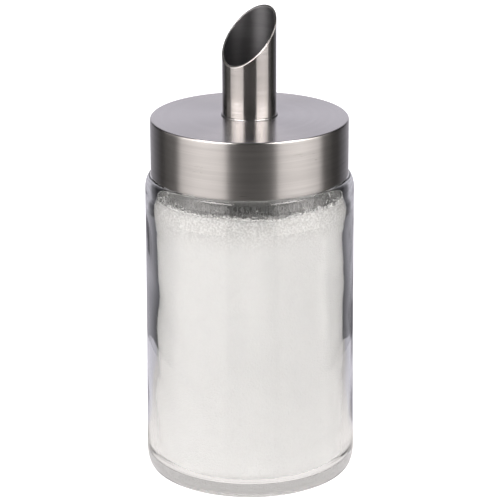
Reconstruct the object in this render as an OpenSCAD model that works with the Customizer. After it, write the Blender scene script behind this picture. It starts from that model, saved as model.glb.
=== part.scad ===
// Sugar dispenser: a clear glass jar, a screw lid of brushed steel and, through the lid's middle,
// an upright steel spout with a slanted mouth. A small flap inside the spout closes it.
// Millimetres. The origin is the centre of the base, +Z is up, and the low lip of the mouth
// faces -Y, so that the mouth's high tip is on +Y.

/* [Jar] */
// Radius of the glass just above the heel
body_base_r = 38.1; // [37.4:0.1:44]
// Radius of the glass just under the shoulder
body_top_r = 37.4; // [37:0.1:44]
// Height at which the upright wall ends and the shoulder starts
body_h = 105.4; // [70:0.2:160]
// Thickness of the upright glass wall
wall = 3.8; // [2.4:0.1:5]
// Thickness of the glass base
base_t = 3.6; // [3:0.1:9]
// Inner radius of the corner between base and wall
inner_corner = 5; // [2:0.5:9]
// Width of the rounded heel
heel_w = 2.2; // [1:0.1:4]
// Height of the rounded heel
heel_h = 6; // [2:0.5:10]
// Radius of the hollow under the base
punt_r = 31; // [20:0.5:34]
// Depth of the hollow under the base
punt_h = 1; // [0.4:0.1:1.6]
// Width of the rounded shoulder
shoulder_w = 2.2; // [1:0.1:2.6]
// Height of the rounded shoulder
shoulder_h = 4.8; // [3:0.1:8]
// Height of the curve inside, from the upright wall in to the neck
inner_shoulder_h = 14; // [6:0.5:16]
// Glass left between the top of that curve and the shoulder's top
inner_shoulder_cover = 1.2; // [0.8:0.1:3]

/* [Neck and thread] */
// Radius of the neck between the threads
neck_r = 31.4; // [29:0.1:31.6]
// Thickness of the neck
neck_wall = 3.2; // [2.6:0.1:4]
// Height of the neck above the shoulder
neck_h = 17.4; // [15:0.2:24]
// Radius of the rounded edges of the rim
rim_round = 1; // [0.4:0.1:1.2]
// Height that the lid climbs in one turn
pitch = 4; // [3.4:0.1:5]
// Number of turns of each thread
turns = 1.25; // [1:0.05:1.5]
// How far the thread stands out of the neck
thread_depth = 1.3; // [1:0.1:1.5]
// Width of a thread ridge at its foot
ridge_foot_w = 2; // [1.6:0.1:2.2]
// Width of a thread ridge at its crest
ridge_crest_w = 1; // [0.6:0.1:1.1]
// Distance from the shoulder up to the start of the jar's thread
thread_start = 7.3; // [6:0.1:8]

/* [Lid] */
// Thickness of the steel sheet
sheet_t = 0.6; // [0.4:0.1:1]
// Rounding of the edge between the lid's top and its skirt
lid_edge = 1.1; // [0.8:0.1:2]
// How far the middle of the top rises above its edge
crown = 0.8; // [0:0.1:2]
// Thickness of the threaded insert's upright wall
insert_wall = 1.55; // [1:0.05:2.5]
// Thickness of the insert's top
insert_top_t = 1.4; // [1:0.1:2.5]
// How far the insert's foot stays above the skirt's edge
insert_setback = 0.5; // [0:0.1:3]
// Height of the low collar on the insert that centres the gasket
collar_h = 1.8; // [0.5:0.1:3]
// Thickness of that collar
collar_t = 0.6; // [0.5:0.1:1]
// Thickness of the gasket
gasket_t = 1.5; // [0.8:0.1:3]

/* [Spout] */
// Outer radius of the spout tube
tube_r = 9.6; // [9:0.1:12]
// Thickness of the tube's wall
tube_wall = 0.6; // [0.4:0.1:0.8]
// Height of the mouth's high tip above the edge of the lid's top
spout_h = 38.75; // [34:0.25:60]
// Slant of the mouth
mouth_angle = 45; // [20:1:50]
// How far the tube's foot is drawn in where it passes the ring and the lid
foot_step = 0.3; // [0.2:0.05:0.5]
// Radius of the tube's foot flange, held between the shell and the insert
flange_r = 13; // [11.5:0.1:20]
// How far the ring on the lid stands out of the tube
ring_w = 0.5; // [0.4:0.1:1.5]
// Height of that ring
ring_h = 0.5; // [0.3:0.1:1.5]

/* [Flap] */
// Height of the flap's seat above the edge of the lid's top
seat_rise = 7.75; // [5:0.25:9]
// Height of the seat ring in the tube
seat_h = 3; // [2:0.25:4]
// Radius of the opening in the seat
orifice_r = 5.9; // [4.5:0.1:6]
// How far the flap covers the seat all round
flap_overlap = 1.2; // [0.6:0.1:1.3]
// Thickness of the flap
flap_t = 0.8; // [0.5:0.1:1]
// Distance of the hinge pin from the tube's axis
hinge_y = 6.9; // [6.2:0.05:7]
// Radius of the hinge pin
pin_r = 0.5; // [0.4:0.05:0.6]
// Thickness of the knuckle and of the ears round the pin
hinge_wall = 0.45; // [0.35:0.05:0.5]
// Length of the flap's knuckle
knuckle_len = 5.6; // [3:0.2:6]
// Thickness of each ear
ear_t = 1.2; // [0.8:0.1:1.4]

/* [Fits] */
// Gap between the skirt's edge and the glass shoulder
skirt_gap = 0.4; // [0.2:0.1:1]
// Gap between the rim and the gasket
rim_gap = 0.1; // [0.05:0.05:0.3]
// Gap between the insert and the shell, and between flat neighbours that are clamped
clamp_gap = 0.05; // [0.02:0.01:0.1]
// Gap between a thread's crest and the wall that it faces
crest_gap = 0.4; // [0.35:0.05:0.8]
// Gap between the flanks of the two threads when the lid is tight
flank_gap = 0.25; // [0.15:0.05:0.4]
// Gap round the tube where it passes the lid
tube_gap = 0.05; // [0.02:0.01:0.2]
// Gap between the seat ring and the tube
seat_gap = 0.02; // [0.01:0.01:0.05]
// Gap between the pin and the knuckle that turns on it
pin_gap = 0.05; // [0.02:0.01:0.1]
// Gap between the pin and the ears that hold it
pin_hold_gap = 0.01; // [0.01:0.01:0.03]
// Gap between the flap's knuckle and each ear
ear_gap = 0.3; // [0.2:0.05:0.5]
// Gap between the closed flap and its seat
flap_gap = 0.1; // [0.05:0.05:0.2]

/* [Hidden] */
$fn = 96;
arc_steps = 8;
ridge_steps = 45;
ridge_sink = 0.5;
ridge_taper = 4;
ridge_tip = 0.1;
cut = 1;

shoulder_top = body_h + shoulder_h;
rim_z = shoulder_top + neck_h;
neck_in_r = neck_r - neck_wall;
inner_shoulder_z = shoulder_top - inner_shoulder_cover - inner_shoulder_h;
ledge_r = body_top_r - shoulder_w;

gasket_z = rim_z + rim_gap;
insert_under = gasket_z + gasket_t;
insert_top = insert_under + insert_top_t;
shell_under = insert_top + clamp_gap;
lid_top = shell_under + sheet_t;
skirt_z = shoulder_top + skirt_gap;

insert_in_r = neck_r + thread_depth + crest_gap;
insert_r = insert_in_r + insert_wall;
shell_in_r = insert_r + clamp_gap;
lid_r = shell_in_r + sheet_t;
ridge_slope = (ridge_foot_w - ridge_crest_w) / thread_depth;
thread_offset = ridge_foot_w - ridge_slope * (thread_depth + crest_gap) / 2 + flank_gap;

bore_r = tube_r - tube_wall;
foot_r = tube_r - foot_step;
foot_bore_r = foot_r - tube_wall;
hole_r = foot_r + tube_gap;
tip_z = lid_top + spout_h;
mouth_z = tip_z - tube_r * tan(mouth_angle);
seat_z = lid_top + seat_rise;
seat_r = bore_r - seat_gap;

flap_r = orifice_r + flap_overlap;
knuckle_r = pin_r + pin_gap + hinge_wall;
hinge_z = seat_z + flap_gap + knuckle_r;
ear_x = knuckle_len / 2 + ear_gap;
pin_len = 2 * (ear_x + ear_t);

// Points of an elliptic arc about [x, z] with radii rx and rz, from angle a0 to angle a1
function arc(x, z, rx, rz, a0, a1) = [
    for (i = [0:arc_steps])
        let (a = a0 + (a1 - a0) * i / arc_steps)
        [x + rx * cos(a), z + rz * sin(a)]
];

// Radius of the glass at height z: the wall flares towards the base, most near the heel
function body_r(z) =
    body_top_r + (body_base_r - body_top_r) * pow((body_h - z) / (body_h - heel_h), 2);

// Height of the crowned top at a distance r from the axis, above the edge of the top
function crown_at(r) = crown * (1 - pow(r / (lid_r - lid_edge), 2));

ring_z = lid_top + crown_at(hole_r) + clamp_gap;
tube_shoulder_z = ring_z + ring_h + clamp_gap;

// One thread ridge along a helix. wall_r is the wall it grows from and side is 1 for a ridge
// that points outward and -1 for one that points inward. Both ends taper down to the wall.
module ridge(wall_r, side, start_z) {
    foot_r = wall_r - side * ridge_sink;
    foot_half = ridge_foot_w / 2 + ridge_slope * ridge_sink / 2;
    points = [
        for (i = [0:ridge_steps])
            let (
                a = 360 * turns * i / ridge_steps,
                z = start_z + pitch * turns * i / ridge_steps,
                grown = min(1, ridge_tip + min(i, ridge_steps - i) / ridge_taper),
                crest_r = wall_r + side * thread_depth * grown,
                crest_half = ridge_foot_w / 2 - ridge_slope * thread_depth * grown / 2,
                outline = [
                    [foot_r, z - foot_half], [foot_r, z + foot_half],
                    [crest_r, z + crest_half], [crest_r, z - crest_half]
                ]
            )
            for (p = outline) [p[0] * cos(a), p[0] * sin(a), p[1]]
    ];
    sides = [
        for (i = [0:ridge_steps - 1], k = [0:3])
            let (a = 4 * i + k, b = 4 * i + (k + 1) % 4)
            for (t = [[b, a, a + 4], [b, a + 4, b + 4]]) t
    ];
    last = 4 * ridge_steps;
    ends = [[0, 1, 2], [0, 2, 3], [last + 2, last + 1, last], [last + 3, last + 2, last]];
    faces = concat(sides, ends);
    polyhedron(points, side > 0 ? faces : [for (f = faces) [f[2], f[1], f[0]]]);
}

module jar() {
    flare = [for (i = [1:arc_steps - 1]) heel_h + (body_h - heel_h) * i / arc_steps];
    outline = concat(
        [[0, punt_h], [punt_r, punt_h], [punt_r + punt_h, 0]],
        arc(body_base_r - heel_w, heel_h, heel_w, heel_h, -90, 0),
        [for (z = flare) [body_r(z), z]],
        arc(ledge_r, body_h, shoulder_w, shoulder_h, 0, 90),
        [[neck_r, shoulder_top]],
        arc(neck_r - rim_round, rim_z - rim_round, rim_round, rim_round, 0, 90),
        arc(neck_in_r + rim_round, rim_z - rim_round, rim_round, rim_round, 90, 180),
        [[neck_in_r, shoulder_top]],
        arc(neck_in_r, inner_shoulder_z, body_r(inner_shoulder_z) - wall - neck_in_r, inner_shoulder_h, 90, 0),
        [for (i = [len(flare) - 1:-1:0]) if (flare[i] < inner_shoulder_z - 1) [body_r(flare[i]) - wall, flare[i]]],
        arc(body_base_r - wall - inner_corner, base_t + inner_corner,
            inner_corner, inner_corner, 0, -90),
        [[0, base_t]]
    );
    color([0.85, 0.93, 0.94, 0.4]) union() {
        rotate_extrude() polygon(outline);
        ridge(neck_r, 1, shoulder_top + thread_start);
    }
}

module lid_shell() {
    flat_r = lid_r - lid_edge;
    rings = [for (i = [0:arc_steps]) hole_r + (flat_r - hole_r) * i / arc_steps];
    outline = concat(
        [for (r = rings) [r, lid_top + crown_at(r)]],
        arc(flat_r, lid_top - lid_edge, lid_edge, lid_edge, 90, 0),
        [[lid_r, skirt_z], [shell_in_r, skirt_z]],
        arc(flat_r, lid_top - lid_edge, lid_edge - sheet_t, lid_edge - sheet_t, 0, 90),
        [for (i = [arc_steps:-1:0]) [rings[i], lid_top + crown_at(rings[i]) - sheet_t]]
    );
    color([0.74, 0.73, 0.74]) rotate_extrude() polygon(outline);
}

module thread_insert() {
    foot_z = skirt_z + insert_setback;
    collar_r = neck_in_r - clamp_gap;
    outline = [
        [foot_bore_r, insert_under], [collar_r - collar_t, insert_under],
        [collar_r - collar_t, insert_under - collar_h], [collar_r, insert_under - collar_h],
        [collar_r, insert_under], [insert_in_r, insert_under], [insert_in_r, foot_z],
        [insert_r, foot_z], [insert_r, insert_top - lid_edge], [insert_r - lid_edge, insert_top],
        [foot_bore_r, insert_top]
    ];
    color([0.9, 0.9, 0.88]) union() {
        rotate_extrude() polygon(outline);
        ridge(insert_in_r, -1, shoulder_top + thread_start - thread_offset);
    }
}

module lid_gasket() {
    color([0.8, 0.8, 0.8]) translate([0, 0, gasket_z]) difference() {
        cylinder(h = gasket_t - clamp_gap, r = insert_in_r - clamp_gap);
        translate([0, 0, -cut]) cylinder(h = gasket_t + 2 * cut, r = neck_in_r + clamp_gap);
    }
}

module spout_tube() {
    foot_z = insert_top + clamp_gap;
    color([0.74, 0.73, 0.74]) difference() {
        union() {
            translate([0, 0, tube_shoulder_z]) cylinder(h = tip_z - tube_shoulder_z, r = tube_r);
            translate([0, 0, foot_z]) cylinder(h = tip_z - foot_z, r = foot_r);
            translate([0, 0, foot_z]) cylinder(h = sheet_t, r = flange_r);
        }
        translate([0, 0, foot_z - cut]) cylinder(h = tip_z - foot_z + 2 * cut, r = foot_bore_r);
        translate([0, 0, tube_shoulder_z]) cylinder(h = tip_z - tube_shoulder_z + cut, r = bore_r);
        translate([0, 0, mouth_z]) rotate([mouth_angle, 0, 0])
            translate([-2 * tube_r, -4 * tube_r, 0]) cube([4 * tube_r, 8 * tube_r, 4 * tube_r]);
    }
}

module spout_ring() {
    color([0.74, 0.73, 0.74]) rotate_extrude() polygon(concat(
        [[hole_r, ring_z]],
        arc(tube_r, ring_z, ring_w, ring_h, 0, 90),
        [[hole_r, ring_z + ring_h]]
    ));
}

module flap_seat() {
    ear_r = knuckle_r;
    hold_r = pin_r + pin_hold_gap;
    color([0.7, 0.7, 0.72]) difference() {
        union() {
            translate([0, 0, seat_z - seat_h]) cylinder(h = seat_h, r = seat_r);
            intersection() {
                for (side = [-1, 1]) translate([side * (ear_x + ear_t / 2), hinge_y, 0]) {
                    translate([-ear_t / 2, -ear_r, seat_z - cut])
                        cube([ear_t, 2 * ear_r, hinge_z - seat_z + cut]);
                    translate([-ear_t / 2, 0, hinge_z]) rotate([0, 90, 0])
                        cylinder(h = ear_t, r = ear_r);
                }
                translate([0, 0, seat_z - seat_h]) cylinder(h = 4 * seat_h, r = seat_r);
            }
        }
        translate([0, 0, seat_z - seat_h - cut]) cylinder(h = seat_h + 2 * cut, r = orifice_r);
        translate([-tube_r, hinge_y, hinge_z]) rotate([0, 90, 0])
            cylinder(h = 2 * tube_r, r = hold_r);
    }
}

module flap() {
    half = knuckle_len / 2;
    clear_y = hinge_y - knuckle_r - ear_gap;
    color([0.74, 0.73, 0.74]) difference() {
        union() {
            translate([0, hinge_y - flap_r, seat_z + flap_gap]) cylinder(h = flap_t, r = flap_r);
            translate([-half, hinge_y, hinge_z]) rotate([0, 90, 0])
                cylinder(h = knuckle_len, r = knuckle_r);
        }
        for (side = [-1, 1])
            translate([side * (half + tube_r / 2) - tube_r / 2, clear_y, seat_z - cut])
                cube([tube_r, tube_r, 4 * knuckle_r]);
        translate([-tube_r, hinge_y, hinge_z]) rotate([0, 90, 0])
            cylinder(h = 2 * tube_r, r = pin_r + pin_gap);
    }
}

module flap_pin() {
    color([0.6, 0.6, 0.62]) translate([-pin_len / 2, hinge_y, hinge_z]) rotate([0, 90, 0])
        cylinder(h = pin_len, r = pin_r);
}

jar();
lid_shell();
thread_insert();
lid_gasket();
spout_tube();
spout_ring();
flap_seat();
flap();
flap_pin();
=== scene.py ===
"""The looks of a glass sugar dispenser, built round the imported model.

Lengths are metres in the model's own frame: +Z up, the centre of the foot at the origin, and the low
lip of the spout's mouth towards -Y. Angles are degrees unless a name says otherwise.
"""

import logging
import math
from dataclasses import dataclass, field
from enum import Enum

import bpy
import numpy as np
from mathutils import Euler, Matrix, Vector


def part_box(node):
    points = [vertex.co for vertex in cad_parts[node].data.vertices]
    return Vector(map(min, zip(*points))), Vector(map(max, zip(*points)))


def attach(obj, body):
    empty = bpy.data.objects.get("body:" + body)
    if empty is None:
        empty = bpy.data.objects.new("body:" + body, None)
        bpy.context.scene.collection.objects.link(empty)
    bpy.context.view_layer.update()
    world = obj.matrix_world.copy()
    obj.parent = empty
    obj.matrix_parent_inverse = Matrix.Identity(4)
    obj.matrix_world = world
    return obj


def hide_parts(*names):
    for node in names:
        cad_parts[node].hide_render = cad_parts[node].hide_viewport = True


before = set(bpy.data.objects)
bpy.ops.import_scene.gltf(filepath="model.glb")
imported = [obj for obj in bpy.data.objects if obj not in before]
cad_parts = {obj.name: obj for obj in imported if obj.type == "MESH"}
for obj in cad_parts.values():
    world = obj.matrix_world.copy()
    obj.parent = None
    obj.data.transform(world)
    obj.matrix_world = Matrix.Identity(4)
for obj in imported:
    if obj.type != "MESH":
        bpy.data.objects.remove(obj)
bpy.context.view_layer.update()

log = logging.getLogger("dispenser")
MM = 0.001
TURN = 2.0 * math.pi
SAME_POINT = 1e-7
ON_AXIS = 1e-9
OFF_AXIS = 1e-6
FEWER_SEGMENTS = 192

Pair = tuple[float, float]
Colour = tuple[float, float, float]
Table = tuple[Pair, ...]


class Grain(Enum):
    """Which way the fine lines of a brushed surface run."""

    ROUND = "round the axis"
    ALONG_X = "along the hinge pin"


class Rays(Enum):
    """Which rays a piece of the studio is there for."""

    PICTURE = "seen by the camera only"
    LIGHT = "seen by everything but the camera"


# Shader expressions


class Value:
    """A number in a shader: a socket on which sums are written as in Python."""

    def __init__(self, shader: "Shader", socket: bpy.types.NodeSocket) -> None:
        """Keeps the shader that the socket belongs to."""
        self.shader = shader
        self.socket = socket

    def _sum(self, operation: str, first: "Value | float", second: "Value | float") -> "Value":
        """Adds one Math node on two numbers."""
        node = self.shader.node("ShaderNodeMath", {"operation": operation}, {0: first, 1: second})
        return Value(self.shader, node.outputs[0])

    def __add__(self, other: "Value | float") -> "Value":
        """self + other."""
        return self._sum("ADD", self, other)

    def __radd__(self, other: "Value | float") -> "Value":
        """other + self."""
        return self._sum("ADD", other, self)

    def __sub__(self, other: "Value | float") -> "Value":
        """self - other."""
        return self._sum("SUBTRACT", self, other)

    def __rsub__(self, other: "Value | float") -> "Value":
        """other - self."""
        return self._sum("SUBTRACT", other, self)

    def __mul__(self, other: "Value | float") -> "Value":
        """self * other."""
        return self._sum("MULTIPLY", self, other)

    def __rmul__(self, other: "Value | float") -> "Value":
        """other * self."""
        return self._sum("MULTIPLY", other, self)

    def __truediv__(self, other: "Value | float") -> "Value":
        """self / other."""
        return self._sum("DIVIDE", self, other)

    def __rtruediv__(self, other: "Value | float") -> "Value":
        """other / self."""
        return self._sum("DIVIDE", other, self)

    def __pow__(self, other: "Value | float") -> "Value":
        """self ** other."""
        return self._sum("POWER", self, other)

    def __rpow__(self, other: "Value | float") -> "Value":
        """other ** self."""
        return self._sum("POWER", other, self)

    def ramp(self, low: float, high: float) -> "Value":
        """Runs smoothly from 0 at low to 1 at high.

        Args:
            low: the value at which the ramp starts.
            high: the value at which it ends.

        Returns:
            The ramp as a new value.
        """
        node = self.shader.node(
            "ShaderNodeMapRange",
            {"interpolation_type": "SMOOTHSTEP"},
            {"Value": self, "From Min": low, "From Max": high},
        )
        return Value(self.shader, node.outputs["Result"])


class Shader:
    """The nodes of one material, or of the world."""

    def __init__(self, name: str, owner: bpy.types.ID | None = None) -> None:
        """Starts with no nodes.

        Args:
            name: the name of the material that is made where no owner is given.
            owner: the world that the nodes are for, where they aren't for a material.
        """
        self.owner = bpy.data.materials.new(name) if owner is None else owner
        self.owner.use_nodes = True
        self.tree = self.owner.node_tree
        self.tree.nodes.clear()

    def node(self, kind: str, settings: dict | None = None, inputs: dict | None = None) -> bpy.types.Node:
        """Makes any node.

        Args:
            kind: the node's type.
            settings: attributes that are set first, such as a Math node's operation.
            inputs: the name or number of a socket, and the number, colour, socket or Value it gets.

        Returns:
            The new node.
        """
        made = self.tree.nodes.new(kind)
        for name, setting in (settings or {}).items():
            setattr(made, name, setting)
        for name, given in (inputs or {}).items():
            self.feed(made.inputs[name], given)
        return made

    def feed(self, socket: bpy.types.NodeSocket, given: object) -> None:
        """Links a socket to what it is given, or sets it.

        Args:
            socket: the socket of a node's input.
            given: a Value or another socket that it is linked to, or the number or colour that it keeps.
        """
        source = given.socket if isinstance(given, Value) else given
        if isinstance(source, bpy.types.NodeSocket):
            self.tree.links.new(source, socket)
        else:
            socket.default_value = source

    def place(self) -> tuple[Value, Value, Value]:
        """Reads the place on the piece.

        Returns:
            The x, y and z of the place, in metres.
        """
        coordinates = self.node("ShaderNodeTexCoord")
        split = self.node("ShaderNodeSeparateXYZ", inputs={0: coordinates.outputs["Object"]})
        return tuple(Value(self, socket) for socket in split.outputs)

    def vector(self, x: Value, y: Value, z: Value) -> bpy.types.NodeSocket:
        """Joins three numbers into a vector."""
        return self.node("ShaderNodeCombineXYZ", inputs={0: x, 1: y, 2: z}).outputs[0]

    def noise(self, at: bpy.types.NodeSocket, scale: float, detail: float = 2.0) -> Value:
        """Soft noise from 0 to 1.

        Args:
            at: the vector that the noise is read at.
            scale: how many features there are in a unit of that vector.
            detail: how many finer layers are added.

        Returns:
            The noise as a value.
        """
        made = self.node("ShaderNodeTexNoise", inputs={"Vector": at, "Scale": scale, "Detail": detail})
        return Value(self, made.outputs[0])

    def mix(
        self, share: Value, first: Colour | bpy.types.NodeSocket, second: Colour
    ) -> bpy.types.NodeSocket:
        """Mixes two colours.

        Args:
            share: how much of the second colour there is.
            first: the colour at 0, or the socket that gives it.
            second: the colour at 1.

        Returns:
            The colour socket.
        """
        made = self.node("ShaderNodeMix", {"data_type": "RGBA"})
        sockets = {socket.identifier: socket for socket in made.inputs}
        self.feed(sockets["Factor_Float"], share)
        self.feed(sockets["A_Color"], first if isinstance(first, bpy.types.NodeSocket) else (*first, 1.0))
        self.feed(sockets["B_Color"], (*second, 1.0))
        return next(s for s in made.outputs if s.identifier == "Result_Color")

    def bump(self, height: Value, strength: float, distance: float) -> bpy.types.NodeSocket:
        """Turns a height into a normal.

        Args:
            height: the height, 1 being a whole distance.
            strength: how much of the bump is used.
            distance: the real depth in metres.

        Returns:
            The normal socket.
        """
        inputs = {"Strength": strength, "Distance": distance, "Height": height}
        return self.node("ShaderNodeBump", inputs=inputs).outputs[0]

    def principled(self, inputs: dict) -> bpy.types.Material:
        """Ends the material with a Principled shader whose sockets get the inputs."""
        return self.finish(self.node("ShaderNodeBsdfPrincipled", inputs=inputs).outputs[0])

    def finish(self, surface: bpy.types.NodeSocket) -> bpy.types.ID:
        """Joins the last shader to the output.

        Args:
            surface: the last shader's socket.

        Returns:
            The material or the world.
        """
        kind = "World" if isinstance(self.owner, bpy.types.World) else "Material"
        self.node("ShaderNodeOutput" + kind, inputs={"Surface": surface})
        return self.owner


# Finishes


@dataclass(frozen=True)
class BrushedSteel:
    """Stainless steel with fine lines: what it mirrors is sharp along them and smeared across."""

    name: str
    colour: Colour = (0.62, 0.6, 0.585)
    roughness: float = 0.29
    anisotropy: float = 0.85
    line_step: float = 0.32 * MM
    line_depth: float = 0.0012 * MM
    line_shade: float = 0.13
    line_length: float = 20 * MM
    lines_round: float = 2.2
    broad_scale: float = 0.24
    broad_range: Pair = (0.25, 0.75)
    mottle_scale: float = 0.09
    rough_lines: float = 0.06
    rough_mottle: float = 0.03
    quarter_turn: float = 0.25
    grain: Grain = Grain.ROUND

    def material(self) -> bpy.types.Material:
        """Makes the steel.

        Lines are noise stretched along the grain: its vector turns slowly with the way along it and
        fast with the way across it, which is height less radius on a turned piece. The shade is half
        fine lines and half broad bands of the same noise.

        Returns:
            The material.
        """
        shader = Shader(self.name)
        x, y, z = shader.place()
        if self.grain is Grain.ROUND:
            radius = (x * x + y * y) ** 0.5 + OFF_AXIS
            along, aside = x / radius * self.lines_round, y / radius * self.lines_round
            across = (z - radius) / self.line_step
        else:
            along, aside, across = x / self.line_length, z / self.line_step, y / self.line_step
        at = shader.vector(along, aside, across)
        lines = shader.noise(at, 1.0, 3.0)
        broad = shader.noise(at, self.broad_scale, 2.0).ramp(*self.broad_range)
        mottle = shader.noise(shader.vector(x / MM, y / MM, z / MM), self.mottle_scale, 2.0)
        dark, bright = 1 - self.line_shade, 1 + self.line_shade
        return shader.principled(
            {
                "Base Color": shader.mix(
                    lines * 0.5 + broad * 0.5,
                    tuple(c * dark for c in self.colour),
                    tuple(c * bright for c in self.colour),
                ),
                "Metallic": 1.0,
                "Roughness": (
                    self.roughness + (lines - 0.5) * self.rough_lines + (mottle - 0.5) * self.rough_mottle
                ),
                "Anisotropic": self.anisotropy,
                "Anisotropic Rotation": self.quarter_turn,
                "Normal": shader.bump(lines, 1.0, self.line_depth),
            }
        )


@dataclass(frozen=True)
class ClearGlass:
    """Pressed soda glass. Light that is only tested for shadow goes straight through it."""

    name: str
    tint: Colour = (0.985, 0.995, 0.992)
    shadow: Colour = (0.96, 0.965, 0.962)
    bend: float = 1.52
    wave_scale: float = 0.06
    wave_depth: float = 0.12 * MM

    def material(self) -> bpy.types.Material:
        """Makes a smooth glass, with the faint unevenness that pressed glass has as coarse noise.

        Returns:
            The material.
        """
        shader = Shader(self.name)
        x, y, z = shader.place()
        uneven = shader.noise(shader.vector(x / MM, y / MM, z / MM), self.wave_scale, 1.0)
        glass = shader.node(
            "ShaderNodeBsdfPrincipled",
            inputs={
                "Base Color": (*self.tint, 1.0),
                "Roughness": 0.0,
                "IOR": self.bend,
                "Transmission Weight": 1.0,
                "Normal": shader.bump(uneven, 1.0, self.wave_depth),
            },
        )
        clear = shader.node("ShaderNodeBsdfTransparent", inputs={"Color": (*self.shadow, 1.0)})
        path = shader.node("ShaderNodeLightPath")
        both = shader.node(
            "ShaderNodeMixShader",
            inputs={0: path.outputs["Is Shadow Ray"], 1: glass.outputs[0], 2: clear.outputs[0]},
        )
        return shader.finish(both.outputs[0])


@dataclass(frozen=True)
class FineSugar:
    """White sugar: crystals of about half a millimetre, with painted shade between them and painted shadow
    in their gaps, darker towards the top under the lid.
    """

    name: str
    pale: Colour = (0.985, 0.982, 0.976)
    # painted shade: this darker colour stands for the shade between crystals, and also gives clumps their
    # darker tone
    crevice_shade_and_clump_tone: Colour = (0.91, 0.907, 0.9)
    crystal: float = 0.55 * MM
    depth: float = 0.16 * MM
    bumpiness: float = 0.8
    spread: float = 3.5 * MM
    roughness: float = 0.62
    gloss: float = 0.35
    # the next two fields set the painted shade between crystals
    crevice_shade_range: Pair = (0.2, 1.1)
    crevice_shade_share: float = 0.7
    clump_scale: float = 0.11
    clump_range: Pair = (0.45, 0.8)
    clump_height: float = 1.4
    # the next five fields paint shadow in the gaps, growing towards the top, where the lid shades the sugar
    gap_shadow_scale: float = 0.8
    gap_shadow_range: Pair = (0.3, 0.66)
    gap_shadow_colour: Colour = (0.68, 0.675, 0.665)
    lid_shadow_from: float = 89 * MM
    lid_shadow_to: float = 104 * MM

    def material(self) -> bpy.types.Material:
        """Makes the sugar.

        Each crystal is one cell of a cell noise: its height falls with the distance from the cell's
        middle, and the painted shade between crystals grows with it. Clumps add a coarse noise to
        the height and the tone. Painted shadow in the gaps is a noise of the crystals' own scale,
        times a ramp of the height above the foot, so the sugar is darker towards the top, under the lid.

        Returns:
            The material.
        """
        shader = Shader(self.name)
        x, y, z = shader.place()
        at = shader.vector(x / self.crystal, y / self.crystal, z / self.crystal)
        cells = shader.node("ShaderNodeTexVoronoi", inputs={"Vector": at, "Scale": 1.0})
        away = Value(shader, cells.outputs["Distance"])
        clumps = shader.noise(at, self.clump_scale, 3.0)
        # painted shade between crystals: darker away from each cell's middle
        painted_crevice_shade = away.ramp(*self.crevice_shade_range) * self.crevice_shade_share
        in_clump = clumps.ramp(*self.clump_range) * (1 - self.crevice_shade_share)
        # this colour holds the painted shade between crystals and the darker tone of clumps
        pale = shader.mix(painted_crevice_shade + in_clump, self.pale, self.crevice_shade_and_clump_tone)
        # painted shadow in the gaps, ramped up with height towards the lid
        loose = shader.noise(at, self.gap_shadow_scale, 1.0).ramp(*self.gap_shadow_range)
        painted_gap_shadow = loose * z.ramp(self.lid_shadow_from, self.lid_shadow_to)
        return shader.principled(
            {
                "Base Color": shader.mix(painted_gap_shadow, pale, self.gap_shadow_colour),
                "Roughness": self.roughness,
                "Specular IOR Level": self.gloss,
                "Subsurface Weight": 1.0,
                "Subsurface Radius": (1.0, 1.0, 1.0),
                "Subsurface Scale": self.spread,
                "Normal": shader.bump(
                    1.0 - away + clumps * self.clump_height, self.bumpiness, self.depth
                ),
            }
        )


@dataclass(frozen=True)
class SugarCrystal:
    """Single crystals: pale and glossy, each with its own shade."""

    name: str
    pale: Colour = (0.97, 0.97, 0.965)
    darkest: float = 0.86
    shade_scale: float = 1.1
    shade_range: Pair = (0.35, 0.7)
    roughness: float = 0.18
    bend: float = 1.54

    def material(self) -> bpy.types.Material:
        """Makes the crystals, with a shade that comes from a coarse noise at their place.

        Returns:
            The material.
        """
        shader = Shader(self.name)
        x, y, z = shader.place()
        shade = shader.noise(shader.vector(x / MM, y / MM, z / MM), self.shade_scale, 0.0)
        dark = tuple(c * self.darkest for c in self.pale)
        return shader.principled(
            {
                "Base Color": shader.mix(shade.ramp(*self.shade_range), self.pale, dark),
                "Roughness": self.roughness,
                "IOR": self.bend,
            }
        )


@dataclass(frozen=True)
class Moulded:
    """Plastic or silicone: one colour with a fine moulded skin."""

    name: str
    colour: Colour
    roughness: float
    skin: float = 0.5 * MM
    depth: float = 0.01 * MM
    bumpiness: float = 0.6
    rough_skin: float = 0.1
    cloud_scale: float = 0.06
    cloud_shade: float = 0.93

    def material(self) -> bpy.types.Material:
        """Makes the skin: a fine noise gives it its grain, and a coarse one its faint clouds.

        Returns:
            The material.
        """
        shader = Shader(self.name)
        x, y, z = shader.place()
        at = shader.vector(x / self.skin, y / self.skin, z / self.skin)
        fine = shader.noise(at, 1.0, 3.0)
        clouds = shader.noise(at, self.cloud_scale, 2.0)
        dark = tuple(c * self.cloud_shade for c in self.colour)
        return shader.principled(
            {
                "Base Color": shader.mix(clouds, dark, self.colour),
                "Roughness": self.roughness + (fine - 0.5) * self.rough_skin,
                "Normal": shader.bump(fine, self.bumpiness, self.depth),
            }
        )


Finish = BrushedSteel | ClearGlass | FineSugar | SugarCrystal | Moulded


# Surfaces


def arc(centre: Pair, radii: Pair, start: float, end: float, count: int) -> np.ndarray:
    """Points of an elliptic arc in the half plane of radius and height.

    Each point is the centre plus the radii times the cosine and sine of an even step of angle.

    Args:
        centre: radius and height of the arc's centre.
        radii: how far it reaches in radius and in height.
        start: first angle.
        end: last angle.
        count: number of points.

    Returns:
        An array of count rows of radius and height.
    """
    angle = np.radians(np.linspace(start, end, count))
    return np.column_stack((centre[0] + radii[0] * np.cos(angle), centre[1] + radii[1] * np.sin(angle)))


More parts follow.
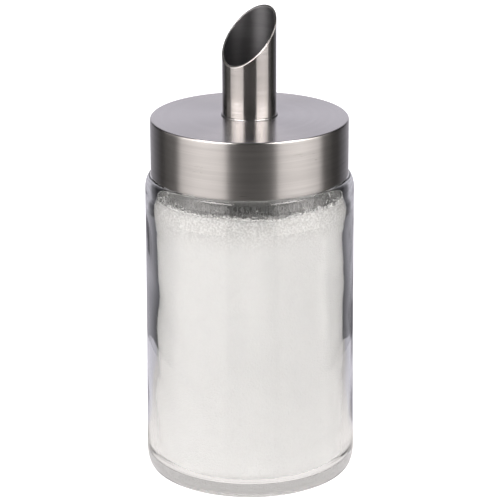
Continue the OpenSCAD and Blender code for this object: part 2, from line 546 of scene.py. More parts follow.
def line(start: Pair, end: Pair, count: int = 2) -> np.ndarray:
    """Even steps along a straight line from start to end, as rows of radius and height."""
    return np.linspace(start, end, count)


def joined(*runs: np.ndarray) -> np.ndarray:
    """Joins the runs of a profile.

    Args:
        runs: rows of radius and height, in order.

    Returns:
        All rows, less each that repeats the one before it.
    """
    points = np.vstack(runs)
    step = np.linalg.norm(np.diff(points, axis=0), axis=1)
    return points[np.concatenate(([True], step > SAME_POINT))]


@dataclass
class Turned:
    """A closed solid turned round +Z.

    The profile runs so that the solid lies on its left. A profile that starts and ends on the axis
    gets a pole at each end, and any other closes on itself. A point of the surface is the radius
    times the cosine and sine of the azimuth, at the profile's height.
    """

    name: str
    profile: np.ndarray
    segments: int = 256

    def grid(self) -> tuple[np.ndarray, np.ndarray, np.ndarray]:
        """Lays the profile out on a grid, one row for each of its points.

        Returns:
            Radius, height and azimuth at each grid point.
        """
        azimuth = np.arange(self.segments) * TURN / self.segments
        shape = (len(self.profile), self.segments)
        radius = np.broadcast_to(self.profile[:, :1], shape).copy()
        height = np.broadcast_to(self.profile[:, 1:], shape).copy()
        return radius, height, np.broadcast_to(azimuth, shape)

    def mesh(self, radius: np.ndarray, height: np.ndarray, azimuth: np.ndarray) -> bpy.types.Object:
        """Makes the piece from its grid.

        Args:
            radius: distance from the axis at each grid point.
            height: height of each grid point.
            azimuth: azimuth of each grid point, in radians.

        Returns:
            The new object.
        """
        poles = bool(self.profile[0, 0] < ON_AXIS)
        rows = slice(1, -1) if poles else slice(None)
        x = (radius * np.cos(azimuth))[rows]
        y = (radius * np.sin(azimuth))[rows]
        points = np.stack((x, y, height[rows]), axis=-1).reshape(-1, 3)
        count = x.shape[0]
        index = np.arange(count * self.segments).reshape(count, self.segments)
        lower = index[:-1] if poles else index
        upper = index[1:] if poles else np.roll(index, -1, axis=0)
        quads = np.stack((lower, np.roll(lower, -1, axis=1), np.roll(upper, -1, axis=1), upper), axis=-1)
        faces = quads.reshape(-1, 4).tolist()
        if poles:
            ends = np.array([[0.0, 0.0, height[0].mean()], [0.0, 0.0, height[-1].mean()]])
            first, last = len(points), len(points) + 1
            points = np.vstack((points, ends))
            around = np.arange(self.segments)
            start = np.stack((np.roll(index[0], -1), index[0], np.full_like(around, first)), axis=-1)
            finish = np.stack((index[-1], np.roll(index[-1], -1), np.full_like(around, last)), axis=-1)
            faces += start.tolist() + finish.tolist()
        return solid(self.name, points, faces)

    def build(self) -> bpy.types.Object:
        """Makes the piece with no change to its grid."""
        return self.mesh(*self.grid())


def solid(name: str, points: np.ndarray, faces: list, sharp: float = 34.0) -> bpy.types.Object:
    """Puts points and faces into a new smooth object.

    Args:
        name: the object's name.
        points: rows of x, y and z.
        faces: lists of point numbers, turning left seen from outside.
        sharp: edges that bend more than this stay sharp.

    Returns:
        The new object.
    """
    data = bpy.data.meshes.new(name)
    data.from_pydata(points.tolist(), [], faces)
    data.shade_smooth()
    data.set_sharp_from_angle(angle=math.radians(sharp))
    made = bpy.data.objects.new(name, data)
    bpy.context.scene.collection.objects.link(made)
    return made


def dress(piece: bpy.types.Object, *finishes: Finish, second: np.ndarray | None = None) -> None:
    """Gives a piece its finishes.

    Args:
        piece: the piece to dress.
        finishes: one finish, or two where some faces differ.
        second: true at each face that takes the second finish.
    """
    piece.data.materials.clear()
    for finish in finishes:
        piece.data.materials.append(finish.material())
    if second is not None:
        piece.data.polygons.foreach_set("material_index", second.astype(np.int32))


def middles(piece: bpy.types.Object) -> tuple[np.ndarray, np.ndarray]:
    """Finds the middle of each face.

    Args:
        piece: the piece to look at.

    Returns:
        Radius and height of each middle.
    """
    centre = np.empty(3 * len(piece.data.polygons))
    piece.data.polygons.foreach_get("center", centre)
    x, y, z = centre.reshape(-1, 3).T
    return np.hypot(x, y), z


def waves(azimuth: np.ndarray, height: np.ndarray, seed: int) -> np.ndarray:
    """Slow unevenness between about -1 and 1: a sum of sines of azimuth and height.

    Each sine goes round the piece a whole number of times, so it meets itself, and climbs at its own
    slope. The sum is divided by the root of the number of sines and by their usual peak.

    Args:
        azimuth: azimuth of each point, in radians.
        height: height of each point.
        seed: picks the sines.

    Returns:
        The unevenness at each point.
    """
    sines, most_round, climb, peak = 9, 9, 4 * MM, 1.4
    pick = np.random.default_rng(seed)
    total = np.zeros_like(azimuth)
    for _ in range(sines):
        around, phase = pick.integers(1, most_round), pick.uniform(0, TURN)
        total += np.sin(around * azimuth + pick.uniform(-1, 1) * height / climb + phase)
    return total / math.sqrt(sines) / peak


@dataclass
class Thread:
    """A ridge that climbs a wall along a helix and fades at both ends."""

    start: float
    pitch: float = 4 * MM
    turns: float = 1.25
    depth: float = 1.3 * MM
    foot: float = 2 * MM
    crest: float = 1 * MM
    fade: float = 36.0

    def height_on(self, azimuth: np.ndarray, height: np.ndarray) -> np.ndarray:
        """How far the ridge stands out at each point.

        For each turn, the ridge's centre is at the start plus the pitch times the turns climbed. The
        ridge is full within half the crest of that centre and falls in a straight line to nothing
        at half the foot.

        Args:
            azimuth: azimuth of each point, in radians.
            height: height of each point.

        Returns:
            The ridge's height over the wall, 0 where there is none.
        """
        out = np.zeros_like(height)
        for lap in range(math.ceil(self.turns) + 1):
            climbed = azimuth / TURN + lap
            centre = self.start + self.pitch * climbed
            across = (self.foot / 2 - np.abs(height - centre)) / (self.foot - self.crest) * 2
            ends = np.minimum(climbed, self.turns - climbed) * 360.0 / self.fade
            out = np.maximum(out, self.depth * np.clip(across, 0, 1) * np.clip(ends, 0, 1))
        return out


# The jar and what is in it


@dataclass
class Jar:
    """The glass jar with its threaded neck."""

    base_radius: float = 38.1 * MM
    top_radius: float = 37.4 * MM
    body_height: float = 105.4 * MM
    wall: float = 3.8 * MM
    base: float = 3.6 * MM
    inner_corner: float = 5 * MM
    heel: Pair = (2.2 * MM, 6 * MM)
    punt_radius: float = 31 * MM
    punt_depth: float = 1 * MM
    punt_round: Pair = (0.9 * MM, 0.6 * MM)
    shoulder: Pair = (2.2 * MM, 4.8 * MM)
    inner_shoulder: float = 14 * MM
    inner_cover: float = 1.2 * MM
    neck_radius: float = 31.4 * MM
    neck_wall: float = 3.2 * MM
    neck_height: float = 17.4 * MM
    rim_round: float = 1 * MM
    thread_start: float = 7.3 * MM
    unevenness: float = 0.09 * MM
    wave_seed: int = 4
    rows: int = 70
    glass: ClearGlass = ClearGlass("jar_glass")

    @property
    def shoulder_top(self) -> float:
        """Height of the ledge that the lid's skirt stops above."""
        return self.body_height + self.shoulder[1]

    @property
    def inner_start(self) -> float:
        """Height at which the inside starts to draw in to the neck."""
        return self.shoulder_top - self.inner_cover - self.inner_shoulder

    @property
    def neck_in(self) -> float:
        """Inner radius of the neck."""
        return self.neck_radius - self.neck_wall

    def outer(self, height: np.ndarray) -> np.ndarray:
        """Outer radius: the top's, plus a flare that grows with the square of the way down."""
        down = (self.body_height - height) / (self.body_height - self.heel[1])
        return self.top_radius + (self.base_radius - self.top_radius) * down**2

    def inner(self, height: np.ndarray) -> np.ndarray:
        """Inner radius: one wall within the outside, and a quarter ellipse in to the neck above that.

        Args:
            height: height of each point.

        Returns:
            The inner radius at each height.
        """
        start = self.outer(np.minimum(height, self.inner_start)) - self.wall
        rise = np.clip((height - self.inner_start) / self.inner_shoulder, 0, 1)
        return self.neck_in + (start - self.neck_in) * np.sqrt(1 - rise**2)

    def bulge(self, azimuth: np.ndarray, height: np.ndarray) -> np.ndarray:
        """How far the inner wall stands out: slow waves that fade to nothing down the floor's corner."""
        rise = np.clip((height - self.base) / self.inner_corner, 0, 1)
        return self.unevenness * waves(azimuth, height, self.wave_seed) * rise

    def inner_wall(self) -> np.ndarray:
        """The inside from the shoulder down to the corner, one wall within the outside."""
        height = np.linspace(self.inner_start, self.base + self.inner_corner, self.rows)
        return np.column_stack((self.inner(height), height))

    def profile(self) -> np.ndarray:
        """The whole outline, from the middle of the hollow foot round to the middle of the floor.

        Returns:
            Rows of radius and height.
        """
        body = np.linspace(self.heel[1], self.body_height, self.rows)
        inside = self.inner_wall()
        foot_edge = self.base_radius - self.heel[0]
        ledge = self.top_radius - self.shoulder[0]
        neck, neck_in, edge = self.neck_radius, self.neck_in, self.rim_round
        rim = self.shoulder_top + self.neck_height - edge
        corner = self.inner_corner
        floor_edge = inside[-1, 0] - corner
        return joined(
            line((0, self.punt_depth), (self.punt_radius, self.punt_depth), 8),
            arc((self.punt_radius, self.punt_depth - self.punt_round[1]), self.punt_round, 90, 0, 6),
            line((self.punt_radius + self.punt_depth, 0), (foot_edge, 0), 3),
            arc((foot_edge, self.heel[1]), self.heel, -90, 0, 26),
            np.column_stack((self.outer(body), body)),
            arc((ledge, self.body_height), self.shoulder, 0, 90, 22),
            line((ledge, self.shoulder_top), (neck, self.shoulder_top), 3),
            line((neck, self.shoulder_top), (neck, rim), 76),
            arc((neck - edge, rim), (edge, edge), 0, 90, 8),
            arc((neck_in + edge, rim), (edge, edge), 90, 180, 8),
            line((neck_in, rim), (neck_in, self.inner_start + self.inner_shoulder), 10),
            arc((neck_in, self.inner_start), (inside[0, 0] - neck_in, self.inner_shoulder), 90, 0, 30),
            inside,
            arc((floor_edge, self.base + corner), (corner, corner), 0, -90, 18),
            line((floor_edge, self.base), (0, self.base), 8),
        )

    def build(self) -> bpy.types.Object:
        """Turns the outline, raises the thread on the neck and makes the inner wall a little uneven.

        Returns:
            The jar.
        """
        turned = Turned("jar_glass", self.profile())
        radius, height, azimuth = turned.grid()
        on_neck = np.isclose(radius, self.neck_radius) & (height > self.shoulder_top)
        thread = Thread(self.shoulder_top + self.thread_start)
        radius += np.where(on_neck, thread.height_on(azimuth, height), 0)
        within = radius < self.outer(height) - self.wall / 2
        inside = within & (height >= self.base) & (height < self.inner_start)
        radius += np.where(inside, self.bulge(azimuth, height), 0)
        piece = turned.mesh(radius, height, azimuth)
        dress(piece, self.glass)
        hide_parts("jar")
        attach(piece, "jar")
        return piece


@dataclass
class Fill:
    """The sugar in the jar: a loose body under an uneven top, with single crystals on it."""

    jar: Jar
    level: float = 103.6 * MM
    tilt: float = 1.3 * MM
    low_side: float = -48.5
    gap: float = 0.16 * MM
    press: float = 0.02 * MM
    closer: float = 2.2
    roll: float = 0.5 * MM
    roll_seed: int = 11
    rim_height: float = 0.8 * MM
    rim_swing: float = 0.45
    rim_power: int = 30
    rim_seed: int = 23
    crystals: int = 12000
    crystal: float = 0.42 * MM
    least_crystal: float = 0.55
    stand_off: float = 0.65
    crystal_seed: int = 7
    strewn: float = 0.98
    clinging: float = 0.2
    clinging_height: Pair = (0.6 * MM, 4 * MM)
    sugar: FineSugar = FineSugar("sugar")
    loose: SugarCrystal = SugarCrystal("sugar_crystals")

    def top(self, radius: np.ndarray, azimuth: np.ndarray) -> np.ndarray:
        """Height of the top: the level, a tilt, a slow roll, and a rim that rises close to the glass.

        The tilt falls with the cosine of the angle from the low side. Tilt and roll grow with the
        share of the way out to the glass, and the rim grows with a high power of that share.

        Args:
            radius: distance of each point from the axis.
            azimuth: azimuth of each point, in radians.

        Returns:
            The height at each point.
        """
        across = radius / self.jar.inner(self.level)
        tilt = -self.tilt * across * np.cos(azimuth - math.radians(self.low_side))
        swing = 1 + self.rim_swing * waves(azimuth, radius, self.rim_seed)
        rim = self.rim_height * swing * across**self.rim_power
        return self.level + tilt + self.roll * waves(azimuth, radius * 2, self.roll_seed) * across + rim

    def edge(self, azimuth: np.ndarray) -> np.ndarray:
        """Radius of the top's edge, a hair inside the glass."""
        start = np.full_like(azimuth, self.jar.inner(self.level))
        return self.jar.inner(self.top(start, azimuth)) - self.gap

    def body(self) -> bpy.types.Object:
        """Makes the sugar's body, a hair inside the glass all round and pressed on its floor.

        The rows of its top lie closer together towards the glass: their share of the way out is one
        less a power of an even step.

        Returns:
            The body.
        """
        corner = self.jar.inner_corner - self.gap
        heights = np.linspace(self.jar.base + self.jar.inner_corner, self.level - 2 * self.tilt, 90)
        side = np.column_stack((self.jar.inner(heights) - self.gap, heights))
        corner_at = (side[0, 0] - corner, heights[0])
        drop = self.jar.inner_corner + self.press
        across = 1 - np.linspace(0, 1, 46) ** self.closer
        profile = joined(
            line((0, heights[0] - drop), (corner_at[0], heights[0] - drop), 8),
            arc(corner_at, (corner, drop), -90, 0, 14),
            side,
            np.column_stack((across * side[-1, 0], np.full_like(across, self.level))),
        )
        turned = Turned("sugar_fill", profile, FEWER_SEGMENTS)
        radius, height, azimuth = turned.grid()
        on_top = np.isclose(height, self.level)
        part = radius / side[-1, 0]
        height = np.where(on_top, self.top(part * self.jar.inner(self.level), azimuth), height)
        uneven = np.where(height < self.jar.inner_start, self.jar.bulge(azimuth, height), 0)
        radius = np.where(on_top, part * self.edge(azimuth), radius + uneven)
        return turned.mesh(radius, height, azimuth)

    def grains(self) -> bpy.types.Object:
        """Makes the loose crystals as small turned cubes, most on the top and some on the glass above it.

        A crystal's corners are its half size times the signs of a cube's corners, turned by a random
        rotation and moved to its place. The rotation is the first factor of a random matrix split
        into a rotation and a triangle.

        Returns:
            The crystals as one piece.
        """
        off_glass = self.gap + self.stand_off * self.crystal
        pick = np.random.default_rng(self.crystal_seed)
        count = self.crystals
        azimuth = pick.uniform(0, TURN, count)
        inside = self.jar.inner(self.level) - self.gap - self.crystal
        radius = inside * np.sqrt(pick.uniform(0.0, self.strewn, count))
        clinging = np.arange(count) < self.clinging * count
        usual, most = self.clinging_height
        lift = np.where(clinging, pick.exponential(usual, count).clip(0, most), 0)
        height = self.top(np.where(clinging, inside, radius), azimuth) + lift
        radius = np.where(clinging, self.jar.inner(height) - off_glass, radius)
        centre = np.column_stack((radius * np.cos(azimuth), radius * np.sin(azimuth), height))
        corners = np.array([(x, y, z) for x in (-1, 1) for y in (-1, 1) for z in (-1, 1)], dtype=float)
        half = self.crystal / 2 * pick.uniform(self.least_crystal, 1.0, (count, 1, 3))
        turn, _ = np.linalg.qr(pick.normal(size=(count, 3, 3)))
        turn *= np.sign(np.linalg.det(turn))[:, None, None]
        points = np.einsum("nij,nkj->nki", turn, corners * half) + centre[:, None, :]
        cube = np.array([(0, 1, 3, 2), (4, 6, 7, 5), (0, 4, 5, 1), (2, 3, 7, 6), (0, 2, 6, 4), (1, 5, 7, 3)])
        faces = (cube[None] + 8 * np.arange(count)[:, None, None]).reshape(-1, 4)
        return solid("sugar_grains", points.reshape(-1, 3), faces.tolist(), sharp=30.0)

    def build(self) -> list[bpy.types.Object]:
        """Makes and dresses the sugar's two pieces.

        Returns:
            The body and the loose crystals.
        """
        pieces = [(self.body(), self.sugar), (self.grains(), self.loose)]
        for piece, finish in pieces:
            dress(piece, finish)
            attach(piece, "jar")
        return [piece for piece, _ in pieces]


# The lid


@dataclass
class Lid:
    """The steel shell, its threaded insert and the gasket."""

    jar: Jar
    sheet: float = 0.6 * MM
    edge: float = 0.7 * MM
    crown: float = 0.8 * MM
    hem: float = 0.16 * MM
    hole_radius: float = 9.35 * MM
    insert_wall: float = 1.55 * MM
    insert_top: float = 1.4 * MM
    insert_lip: Pair = (0.65 * MM, 1 * MM)
    collar: Pair = (0.6 * MM, 1.8 * MM)
    play: float = 0.05 * MM
    gasket_round: float = 0.25 * MM
    thread_drop: float = 1.596 * MM
    top_share: float = 0.3
    steel: BrushedSteel = BrushedSteel("lid_steel")
    top_steel: BrushedSteel = BrushedSteel(
        "lid_top_steel", colour=(0.565, 0.55, 0.545), roughness=0.22, anisotropy=0.9, line_shade=0.04
    )
    plastic: Moulded = Moulded("insert_plastic", (0.82, 0.82, 0.8), 0.45)
    silicone: Moulded = Moulded("gasket_silicone", (0.72, 0.72, 0.7), 0.5)
    low: tuple = field(init=False)
    high: tuple = field(init=False)

    def __post_init__(self) -> None:
        """Reads the shell's box from the model."""
        self.low, self.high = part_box("lid_shell")

    @property
    def radius(self) -> float:
        """Outer radius of the shell."""
        return self.high[0]

    @property
    def top(self) -> float:
        """Height of the edge of the top: the shell's highest point less the crown there."""
        flat = self.radius - self.edge
        return self.high[2] - self.crown * (1 - (self.hole_radius / flat) ** 2)

    def crowned(self, radius: np.ndarray) -> np.ndarray:
        """Height of the top: its edge's, plus the crown less its share of the radius squared."""
        flat = self.radius - self.edge
        return self.top + self.crown * (1 - (radius / flat) ** 2)

    def shell(self) -> bpy.types.Object:
        """Makes the drawn steel shell, with its top in a finer finish than its skirt.

        Returns:
            The shell.
        """
        flat, skirt_top = self.radius - self.edge, self.top - self.edge
        inner, hole, hem = self.radius - self.sheet, self.hole_radius, self.hem
        hem_top = self.low[2] + hem
        out = np.linspace(hole, flat, 40)
        bend = self.edge - self.sheet
        profile = joined(
            np.column_stack((out[::-1], self.crowned(out[::-1]))),
            line((hole, self.crowned(hole)), (hole, self.crowned(hole) - self.sheet)),
            np.column_stack((out, self.crowned(out) - self.sheet)),
            arc((flat, skirt_top), (bend, bend), 90, 0, 8),
            line((inner, skirt_top), (inner, hem_top), 12),
            arc((inner + hem, hem_top), (hem, hem), 180, 270, 5),
            arc((self.radius - hem, hem_top), (hem, hem), 270, 360, 5),
            line((self.radius, hem_top), (self.radius, skirt_top), 24),
            arc((flat, skirt_top), (self.edge, self.edge), 0, 90, 14),
        )
        piece = Turned("lid_shell_steel", profile[:-1]).build()
        _, height = middles(piece)
        dress(piece, self.steel, self.top_steel, second=height > self.top - self.top_share * self.edge)
        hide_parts("lid_shell")
        return piece

    def insert(self) -> bpy.types.Object:
        """Makes the plastic insert, with the thread raised on its inside.

        Returns:
            The insert.
        """
        low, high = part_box("thread_insert")
        outer = high[0]
        wall = outer - self.insert_wall
        under = high[2] - self.insert_top
        collar = self.jar.neck_in - self.play
        thin, drop = self.collar
        lip, land = self.insert_lip
        bore = self.hole_radius - lip
        profile = joined(
            line((bore, high[2]), (bore, under)),
            line((bore, under), (collar - thin, under), 3),
            line((collar - thin, under), (collar - thin, under - drop)),
            line((collar - thin, under - drop), (collar, under - drop)),
            line((collar, under - drop), (collar, under)),
            line((collar, under), (wall, under)),
            line((wall, under), (wall, low[2]), 76),
            line((wall, low[2]), (outer, low[2])),
            line((outer, low[2]), (outer, high[2] - self.edge), 3),
            line((outer, high[2] - self.edge), (outer - self.edge, high[2])),
            line((outer - self.edge, high[2]), (bore + land, high[2]), 3),
        )
        turned = Turned("thread_insert_plastic", profile)
        radius, height, azimuth = turned.grid()
        on_wall = np.isclose(radius, wall) & (height < under) & (height > low[2])
        thread = Thread(self.jar.shoulder_top + self.jar.thread_start - self.thread_drop)
        radius -= np.where(on_wall, thread.height_on(azimuth, height), 0)
        piece = turned.mesh(radius, height, azimuth)
        dress(piece, self.plastic)
        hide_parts("thread_insert")
        return piece

    def gasket(self) -> bpy.types.Object:
        """Makes the gasket with its edges softened.

        Returns:
            The gasket.
        """
        low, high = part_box("lid_gasket")
        inner = self.jar.neck_in + self.play
        soft = self.gasket_round
        profile = joined(
            arc((inner + soft, high[2] - soft), (soft, soft), 90, 180, 4),
            arc((inner + soft, low[2] + soft), (soft, soft), 180, 270, 4),
            arc((high[0] - soft, low[2] + soft), (soft, soft), 270, 360, 4),
            arc((high[0] - soft, high[2] - soft), (soft, soft), 0, 90, 4),
        )
        piece = Turned("gasket_ring", profile, FEWER_SEGMENTS).build()
        dress(piece, self.silicone)
        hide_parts("lid_gasket")
        return piece

    def build(self) -> list[bpy.types.Object]:
        """Makes the lid's pieces and lets them ride on their bodies.

        Returns:
            The shell, the insert and the gasket.
        """
        shell, insert, gasket = self.shell(), self.insert(), self.gasket()
        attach(shell, "lid")
        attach(insert, "lid")
        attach(gasket, "gasket")
        return [shell, insert, gasket]


# The spout


@dataclass
class Spout:
    """The upright tube with its slanted mouth, the ring at its foot and the flap inside."""

    lid: Lid
    tip_radius: float = 9.6 * MM
    wall: float = 0.6 * MM
    draw_in: float = 0.3 * MM
    flange: float = 13 * MM
    mouth_angle: float = 45.0
    rim_round: float = 0.14 * MM
    play: float = 0.05 * MM
    bore_share: float = 0.8
    steel: BrushedSteel = BrushedSteel(
        "spout_steel", colour=(0.53, 0.51, 0.495), roughness=0.2, anisotropy=0.95, line_depth=0.0006 * MM
    )
    # painted shade: the bore is the tube's own steel, coloured near black for the shade inside the tube
    bore_painted_shade: BrushedSteel = BrushedSteel(
        "spout_bore_painted_shade", colour=(0.145, 0.145, 0.15), roughness=0.5, anisotropy=0.4
    )
    # painted shade: the ring is real steel, darkened for the shade in the joint at the tube's foot
    ring_steel: BrushedSteel = BrushedSteel(
        "ring_steel", colour=(0.36, 0.35, 0.345), roughness=0.26, anisotropy=0.5
    )
    flap_steel: BrushedSteel = BrushedSteel("flap_steel", grain=Grain.ALONG_X, roughness=0.34)
    seat_steel: BrushedSteel = BrushedSteel("seat_steel", roughness=0.34)
    pin_steel: BrushedSteel = BrushedSteel(
        "pin_steel", colour=(0.66, 0.66, 0.66), roughness=0.15, grain=Grain.ALONG_X
    )
    low: tuple = field(init=False)
    high: tuple = field(init=False)

    def __post_init__(self) -> None:
        """Reads the tube's box from the model."""
        self.low, self.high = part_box("spout_tube")

    @property
    def ring_box(self) -> tuple:
        """Lowest and highest corner of the ring."""
        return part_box("spout_ring")

    def cut(self, radius: np.ndarray, azimuth: np.ndarray) -> np.ndarray:
        """Height of the slanted cut: the tip's, less the slope times the way back from the tip.

        Args:
            radius: distance of each point from the axis.
            azimuth: azimuth of each point, in radians.

        Returns:
            The height at each point.
        """
        slope = math.tan(math.radians(self.mouth_angle))
        return self.high[2] - slope * (self.tip_radius - radius * np.sin(azimuth))

    def tube(self) -> bpy.types.Object:
        """Makes the tube, with its bore in a near-black steel finish that paints the shade inside it.

        Up the outside, over the lip and down the inside, each point has a radius, a share of the way
        from the shoulder up to the cut, and a fixed drop below that. Points of the foot have a fixed
        height.

        Returns:
            The tube.
        """
        outer, inner = self.tip_radius, self.tip_radius - self.wall
        foot, shoulder = self.low[2], self.ring_box[1][2] + self.play
        bend = self.rim_round
        share = np.linspace(0, 1, 60)[:-1]
        lip = joined(
            arc((outer - bend, -bend), (bend, bend), 0, 90, 5),
            arc((inner + bend, -bend), (bend, bend), 90, 180, 5),
        )
        narrow_in, narrow_out, plate = inner - self.draw_in, outer - self.draw_in, foot + self.wall
        under = np.array(
            [
                (narrow_in, shoulder), (narrow_in, foot), (self.flange, foot),
                (self.flange, plate), (narrow_out, plate), (narrow_out, shoulder),
            ]
        )
        outside, inside, zero = np.full_like(share, outer), np.full_like(share, inner), np.zeros(len(under))
        radius = np.concatenate((outside, lip[:, 0], inside, under[:, 0]))
        part = np.concatenate((share, np.ones(len(lip)), share[::-1], zero))
        drop = np.concatenate((-bend * share, lip[:, 1], -bend * share[::-1], zero))
        fixed = np.concatenate((np.full(len(radius) - len(under), shoulder), under[:, 1]))
        turned = Turned("spout_tube_steel", np.column_stack((radius, fixed)), FEWER_SEGMENTS)
        wide, base, azimuth = turned.grid()
        height = base + (self.cut(wide, azimuth) - base) * part[:, None] + drop[:, None]
        piece = turned.mesh(wide, height, azimuth)
        away, _ = middles(piece)
        # the bore's faces take the near-black finish: painted shade inside the tube
        dress(piece, self.steel, self.bore_painted_shade, second=away < outer - self.bore_share * self.wall)
        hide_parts("spout_tube")
        return piece

    def ring(self) -> bpy.types.Object:
        """Makes the ring round the tube's foot, with a quarter ellipse outside.

        Returns:
            The ring.
        """
        low, high = self.ring_box
        proud = high[0] - self.tip_radius
        profile = joined(
            line((self.lid.hole_radius, high[2]), (self.lid.hole_radius, low[2])),
            line((self.lid.hole_radius, low[2]), (high[0], low[2])),
            arc((self.tip_radius, low[2]), (proud, high[2] - low[2]), 0, 90, 10),
        )
        piece = Turned("spout_ring_steel", profile, FEWER_SEGMENTS).build()
        # the darkened steel paints the shade in the joint round the tube's foot
        dress(piece, self.ring_steel)
        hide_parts("spout_ring")
        return piece

    def build(self) -> list[bpy.types.Object]:
        """Makes the spout's pieces and dresses the flap, its seat and its pin.

        Returns:
            The tube and the ring.
        """
        pieces = [self.tube(), self.ring()]
        for piece in pieces:
            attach(piece, "lid")
        finishes = {"flap": self.flap_steel, "flap_seat": self.seat_steel, "flap_pin": self.pin_steel}
        for node, finish in finishes.items():
            dress(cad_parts[node], finish)
        return pieces


# The studio


def seen_by(piece: bpy.types.Object, rays: Rays) -> None:
    """Sets which rays meet a piece of the studio.

    Args:
        piece: the piece.
        rays: the rays that it is there for.
    """
    camera = rays is Rays.PICTURE
    piece.visible_camera = camera
    piece.visible_glossy = not camera
    piece.visible_transmission = not camera
    piece.visible_diffuse = not camera
    piece.visible_shadow = False


@dataclass
class Studio:
    """A light tent: two soft boxes left and right of the camera, a pale backdrop and a pale floor.

    Azimuth 0 is towards the camera, right positive. Each table gives azimuth and brightness, 1 being
    white, and between its rows the brightness runs in a straight line. What is brighter than white is
    a soft box. The rises give the elevation of each ring of the walls, and how much brighter than in
    the table the soft boxes are there.
    """

    camera_azimuth: float
    room: float = 0.05
    distance: float = 0.8
    middle_height: float = 0.1
    rises: Table = ((-6, 0.77), (30, 0.77), (48, 0.9), (49, 4.8), (61, 4.8), (62, 0.9))
    warm: Colour = (1.03, 0.985, 0.965)
    cool: Colour = (0.975, 0.95, 1.04)
    cool_behind: float = 125.0
    walls: Table = (
        (-180, 0.75), (-163, 0.75), (-154, 0.6), (-147, 0.2), (-136, 0.03), (-112, 0.03), (-110, 0.3),
        (-85, 0.45), (-84, 2.35), (-58, 3.15), (-26, 2.4), (-25, 0.03), (30, 0.03), (31, 2.25), (60, 3.2),
        (85, 2.5), (86, 0.45), (103, 0.2), (106, 0.03), (134, 0.03), (147, 0.2), (154, 0.6), (163, 0.75),
        (180, 0.75),
    )
    ground: Table = (
        (-180, 0.75), (-165, 0.55), (-150, 0.35), (-136, 0.2), (-120, 0.05), (-90, 0.05), (-84, 0.45),
        (-26, 0.4), (-22, 0.105), (28, 0.105), (32, 0.4), (86, 0.45), (92, 0.05), (120, 0.05), (136, 0.2),
        (150, 0.35), (165, 0.55), (180, 0.75),
    )
    table: Table = (
        (-180, 0.75), (-140, 0.6), (-125, 0.42), (-78, 0.42), (-26, 0.4), (-22, 0.12), (28, 0.12),
        (32, 0.4), (80, 0.45), (88, 0.42), (125, 0.42), (140, 0.6), (180, 0.75),
    )
    table_glow: float = 0.89
    table_middle: float = 0.1 * MM
    even_radius: float = 39 * MM
    table_radius: float = 148 * MM
    ground_drop: float = 0.15 * MM
    floor_radius: float = 3.0
    floor_drop: float = 0.2 * MM
    floor_corners: int = 96
    floor_paper: float = 0.5
    floor_shade: float = 0.97
    floor_scale: float = 7.0
    floor_roughness: float = 0.8
    floor_glow: float = 0.95

    @property
    def azimuths(self) -> np.ndarray:
        """Azimuths of the corners of a band, half a degree apart."""
        return np.linspace(-180, 180, 721)

    def power(self, table: Table, lift: float = 1.0) -> np.ndarray:
        """Brightness at each azimuth of a ring: the table's, and lift times that in the soft boxes.

        Args:
            table: rows of azimuth and brightness.
            lift: how much brighter the soft boxes are than in the table.

        Returns:
            The brightness at each corner of the ring.
        """
        stops = np.array(table, dtype=float)
        power = np.interp(self.azimuths, stops[:, 0], stops[:, 1])
        return power * np.where(power > 1, lift, 1)

    def band(self, name: str, rings: list) -> bpy.types.Object:
        """Makes a glowing band round the object.

        A corner stands at its ring's height, and its ring's radius away at its azimuth plus the
        camera's. Its colour is its brightness times the warm tone, or the cool one behind the object.

        Args:
            name: the band's name.
            rings: radius, height and brightness at each azimuth, of each ring.

        Returns:
            The band.
        """
        turn = np.radians(self.azimuths + self.camera_azimuth)
        radius, height = (np.array([ring[k] for ring in rings])[:, None] for k in (0, 1))
        points = np.stack((radius * np.sin(turn), -radius * np.cos(turn), height + 0 * turn), axis=-1)
        index = np.arange(points[..., 0].size).reshape(points.shape[:2])
        corners = (index[:-1, :-1], index[1:, :-1], index[1:, 1:], index[:-1, 1:])
        faces = np.stack(corners, axis=-1).reshape(-1, 4)
        piece = solid(name, points.reshape(-1, 3), faces.tolist())
        power = np.array([ring[2] for ring in rings])
        tone = np.where(np.abs(self.azimuths)[:, None] > self.cool_behind, self.cool, self.warm)
        colour = np.concatenate((power[..., None] * tone, np.ones((*power.shape, 1))), axis=-1)
        glow = piece.data.color_attributes.new("glow", "FLOAT_COLOR", "POINT")
        glow.data.foreach_set("color", colour.ravel())
        shader = Shader(name + "_glow")
        read = shader.node("ShaderNodeAttribute", {"attribute_name": "glow"})
        made = shader.node("ShaderNodeEmission", inputs={"Color": read.outputs["Color"], "Strength": 1.0})
        piece.data.materials.append(shader.finish(made.outputs[0]))
        seen_by(piece, Rays.LIGHT)
        return piece

    def tent(self) -> list[bpy.types.Object]:
        """Makes the walls, the ground and the glowing table under the object.

        A ring of the walls stands as high over the middle as the distance times its rise's tangent.

        Returns:
            The three bands.
        """
        walls = []
        for rise, lift in self.rises:
            height = self.distance * math.tan(math.radians(rise)) + self.middle_height
            walls.append((self.distance, height, self.power(self.walls, lift)))
        low = -self.ground_drop
        ground = [(radius, low, self.power(self.ground)) for radius in (self.table_radius, self.distance)]
        even = np.full_like(self.azimuths, self.table_glow)
        table = [(radius, low, even) for radius in (self.table_middle, self.even_radius)]
        table.append((self.table_radius, low, self.power(self.table)))
        rings = {"tent_walls": walls, "tent_ground": ground, "tent_table": table}
        return [self.band(name, rows) for name, rows in rings.items()]

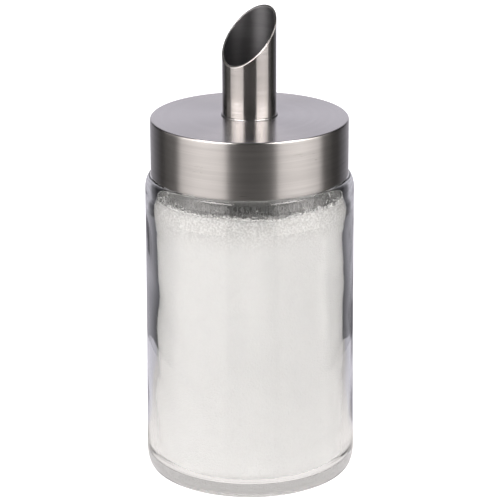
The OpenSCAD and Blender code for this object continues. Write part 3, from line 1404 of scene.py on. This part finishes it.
    def floor(self) -> bpy.types.Object:
        """Makes the pale floor that the camera sees: a wide round sheet just under the foot.

        Its corners lie on a circle, at even steps of azimuth.

        Returns:
            The floor.
        """
        azimuth = np.arange(self.floor_corners) * TURN / self.floor_corners
        x, y = self.floor_radius * np.cos(azimuth), self.floor_radius * np.sin(azimuth)
        points = np.column_stack((x, y, np.full_like(azimuth, -self.floor_drop)))
        piece = solid("floor", points, [list(range(self.floor_corners))])
        shader = Shader("floor_white")
        shade = shader.noise(shader.vector(*shader.place()), self.floor_scale, 1.0)
        paper = shader.mix(shade, (self.floor_paper * self.floor_shade,) * 3, (self.floor_paper,) * 3)
        white = shader.principled(
            {
                "Base Color": paper,
                "Roughness": self.floor_roughness,
                "Emission Color": (1.0, 1.0, 1.0, 1.0),
                "Emission Strength": self.floor_glow,
            }
        )
        piece.data.materials.append(white)
        seen_by(piece, Rays.PICTURE)
        return piece

    def surround(self) -> bpy.types.World:
        """Makes the world: white where the camera sees it, and a dim room for all other rays.

        Returns:
            The world.
        """
        shader = Shader("room", bpy.data.worlds.new("room"))
        path = shader.node("ShaderNodeLightPath")
        dim = shader.node("ShaderNodeBackground", inputs={"Color": (self.room, self.room, self.room, 1.0)})
        white = shader.node("ShaderNodeBackground", inputs={"Color": (1.0, 1.0, 1.0, 1.0)})
        mixed = shader.node(
            "ShaderNodeMixShader",
            inputs={0: path.outputs["Is Camera Ray"], 1: dim.outputs[0], 2: white.outputs[0]},
        )
        return shader.finish(mixed.outputs[0])

    def build(self) -> None:
        """Makes the tent, the floor and the world."""
        pieces = [*self.tent(), self.floor()]
        bpy.context.scene.world = self.surround()


@dataclass
class PictureCamera:
    """The camera, placed as the photograph's was."""

    azimuth: float = 41.5
    away: float = 808.3 * MM
    height: float = 350.0 * MM
    pitch: float = math.degrees(0.321)
    roll: float = -0.17
    sensor: float = 36.0
    focal_pixels: float = 2358.0
    frame_pixels: float = 500.0
    aside_pixels: float = 0.2
    clip: Pair = (0.05, 20.0)

    def build(self) -> None:
        """Places the camera, turned down by the pitch, round by the azimuth and a hair past the axis."""
        data = bpy.data.cameras.new("picture")
        data.sensor_width = self.sensor
        data.lens = self.focal_pixels * self.sensor / self.frame_pixels
        data.clip_start, data.clip_end = self.clip
        camera = bpy.data.objects.new("picture", data)
        turn = math.radians(self.azimuth)
        camera.location = (self.away * math.sin(turn), -self.away * math.cos(turn), self.height)
        aside = math.atan(self.aside_pixels / self.focal_pixels)
        tilt = Euler((math.radians(90.0 - self.pitch), 0.0, turn - aside)).to_matrix()
        camera.rotation_euler = (tilt @ Euler((0.0, 0.0, math.radians(self.roll))).to_matrix()).to_euler()
        bpy.context.scene.collection.objects.link(camera)
        bpy.context.scene.camera = camera


def main() -> None:
    """Builds the object, the studio and the camera."""
    logging.basicConfig(level=logging.INFO, format="%(name)s: %(message)s")
    jar = Jar()
    lid = Lid(jar)
    pieces = [jar.build(), *Fill(jar).build(), *lid.build(), *Spout(lid).build()]
    for piece in pieces:
        log.info("%s: %d faces", piece.name, len(piece.data.polygons))
    camera = PictureCamera()
    Studio(camera.azimuth).build()
    camera.build()
    settings = bpy.context.scene.view_settings
    settings.view_transform, settings.look = "Standard", "None"


if __name__ == "__main__":
    main()
